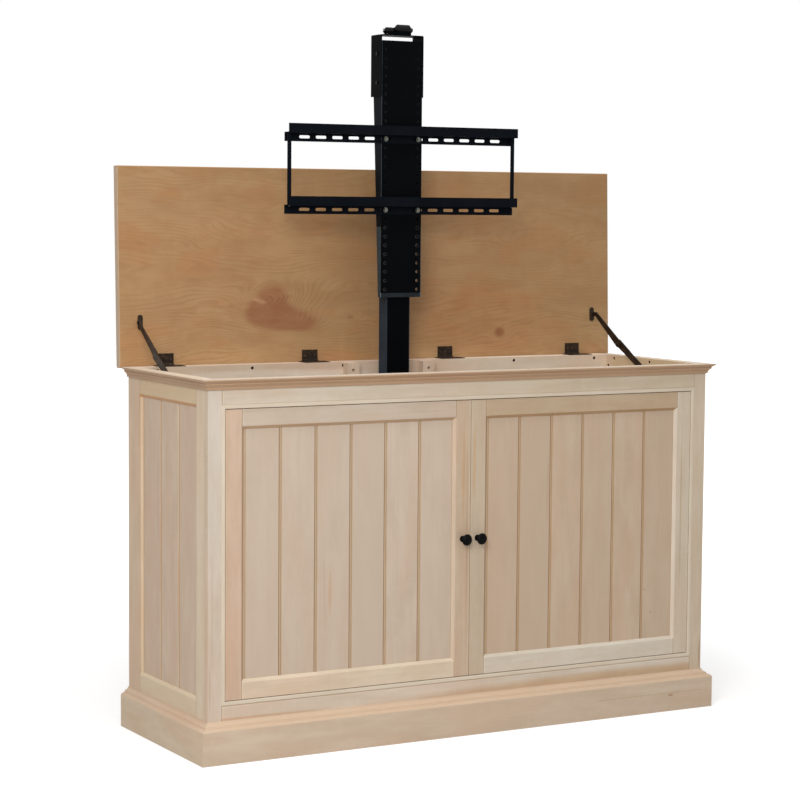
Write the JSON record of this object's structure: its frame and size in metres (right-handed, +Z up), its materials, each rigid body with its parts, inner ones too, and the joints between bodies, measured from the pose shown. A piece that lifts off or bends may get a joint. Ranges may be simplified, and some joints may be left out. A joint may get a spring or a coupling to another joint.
{
  "type": "tv lift cabinet",
  "caption": "Unfinished pine media cabinet with beadboard doors, a hinged plywood lid on folding stays and a motorised telescopic television lift.",
  "frame": {"origin": "on the floor, under the centre of the carcass, at the foot of the centre floor runner", "axes": "+X to the right seen from the front, +Y to the back, +Z up"},
  "size_m": [1.642, 0.6085, 1.9815],
  "materials": {
    "pine": "unfinished sanded pine",
    "back_ply": "unfinished plywood",
    "lid_ply": "birch plywood, unfinished",
    "bronze": "dark oil-rubbed bronze",
    "black_metal": "satin black powder coat",
    "zinc": "bright zinc plate",
    "nylon": "natural nylon",
    "black_plastic": "black moulded plastic",
    "brown_plastic": "brown moulded plastic"
  },
  "bodies": {
    "cabinet": {"face_stile_left": "pine", "face_stile_right": "pine", "face_top_rail": "pine", "face_bottom_rail": "pine", "opening_bead": "pine", "side_frame_left": "pine", "side_frame_right": "pine", "side_boards_left": "pine", "side_boards_right": "pine", "back_panel": "back_ply", "back_top_rail": "pine", "bottom_panel": "back_ply", "floor_runner": "pine", "inner_blocks": "pine", "plinth_front": "pine", "plinth_left": "pine", "plinth_right": "pine", "base_cap_moulding": "pine", "crown_moulding": "pine", "door_hinge_arms": "zinc", "magnetic_catches": "brown_plastic", "rail_hinge_leaves": "bronze", "stay_side_plates": "bronze", "lift_base": "black_metal", "lift_outer_column": "black_metal", "lift_outer_glide": "nylon", "lift_motor": "black_metal", "lift_control_box": "black_plastic", "power_inlet": "black_plastic"},
    "left_door": {"left_door_outer_stile": "pine", "left_door_meeting_stile": "pine", "left_door_rails": "pine", "left_door_boards": "pine", "left_door_knob": "black_metal", "left_door_fittings": "zinc"},
    "right_door": {"right_door_outer_stile": "pine", "right_door_meeting_stile": "pine", "right_door_rails": "pine", "right_door_boards": "pine", "right_door_knob": "black_metal", "right_door_fittings": "zinc"},
    "lid": {"lid_panel": "lid_ply", "lid_hinge_leaves": "bronze", "stay_lid_plates": "bronze"},
    "left_lower_arm": {"left_stay_lower_arm": "bronze"},
    "left_upper_arm": {"left_stay_upper_arm": "bronze"},
    "right_lower_arm": {"right_stay_lower_arm": "bronze"},
    "right_upper_arm": {"right_stay_upper_arm": "bronze"},
    "lift_middle": {"lift_middle_column": "black_metal", "lift_middle_glide": "nylon"},
    "lift_carriage": {"lift_inner_column": "black_metal", "lift_head": "black_metal", "lift_mount_plate": "black_metal", "tv_bar_lower": "black_metal", "tv_bar_upper": "black_metal", "tv_bar_straps": "black_metal", "lift_bolts": "zinc", "lid_roller_bracket": "black_metal"},
    "lid_roller": {"lid_roller": "black_plastic"},
    "lid_small_roller": {"lid_small_roller": "black_plastic"}
  },
  "joints": [
    {"name": "lid_hinge", "type": "hinge", "parent": "cabinet", "child": "lid", "pos_m": [0, 0.2682, 1.01225], "axis": [1, 0, 0], "range_deg": [0, 9]},
    {"name": "left_stay_foot_pivot", "type": "hinge", "parent": "cabinet", "child": "left_lower_arm", "pos_m": [-0.769, 0.0122, 0.975], "axis": [1, 0, 0], "range_deg": [-15.4, 0]},
    {"name": "left_stay_lid_pivot", "type": "hinge", "parent": "lid", "child": "left_upper_arm", "pos_m": [-0.769, 0.26243, 1.13251], "axis": [1, 0, 0], "range_deg": [0, 9.68]},
    {"name": "right_stay_foot_pivot", "type": "hinge", "parent": "cabinet", "child": "right_lower_arm", "pos_m": [0.769, 0.0122, 0.975], "axis": [1, 0, 0], "range_deg": [-15.4, 0]},
    {"name": "right_stay_lid_pivot", "type": "hinge", "parent": "lid", "child": "right_upper_arm", "pos_m": [0.769, 0.26243, 1.13251], "axis": [1, 0, 0], "range_deg": [0, 9.68]},
    {"name": "left_door_hinge", "type": "hinge", "parent": "cabinet", "child": "left_door", "pos_m": [-0.745, -0.2655, 0.5465], "axis": [0, 0, 1], "range_deg": [-105, 0]},
    {"name": "right_door_hinge", "type": "hinge", "parent": "cabinet", "child": "right_door", "pos_m": [0.745, -0.2655, 0.5465], "axis": [0, 0, 1], "range_deg": [0, 105]},
    {"name": "lift_middle_slide", "type": "slide", "parent": "cabinet", "child": "lift_middle", "axis": [0, 0, 1], "range_m": [-0.487, 0]},
    {"name": "lift_carriage_slide", "type": "slide", "parent": "lift_middle", "child": "lift_carriage", "axis": [0, 0, 1], "range_m": [-0.487, 0]},
    {"name": "lid_roller_spin", "type": "hinge", "parent": "lift_carriage", "child": "lid_roller", "pos_m": [0.0175, 0.1695, 1.968], "axis": [1, 0, 0], "continuous": true},
    {"name": "lid_small_roller_spin", "type": "hinge", "parent": "lift_carriage", "child": "lid_small_roller", "pos_m": [-0.0281, 0.1695, 1.9635], "axis": [1, 0, 0], "continuous": true}
  ],
  "couplings": [
    {"joint": "lift_carriage_slide", "follows": "lift_middle_slide", "ratio": 1},
    {"joint": "left_stay_foot_pivot", "follows": "lid_hinge", "ratio": -1.7108},
    {"joint": "left_stay_lid_pivot", "follows": "lid_hinge", "ratio": 1.0749},
    {"joint": "right_stay_foot_pivot", "follows": "lid_hinge", "ratio": -1.7108},
    {"joint": "right_stay_lid_pivot", "follows": "lid_hinge", "ratio": 1.0749}
  ]
}
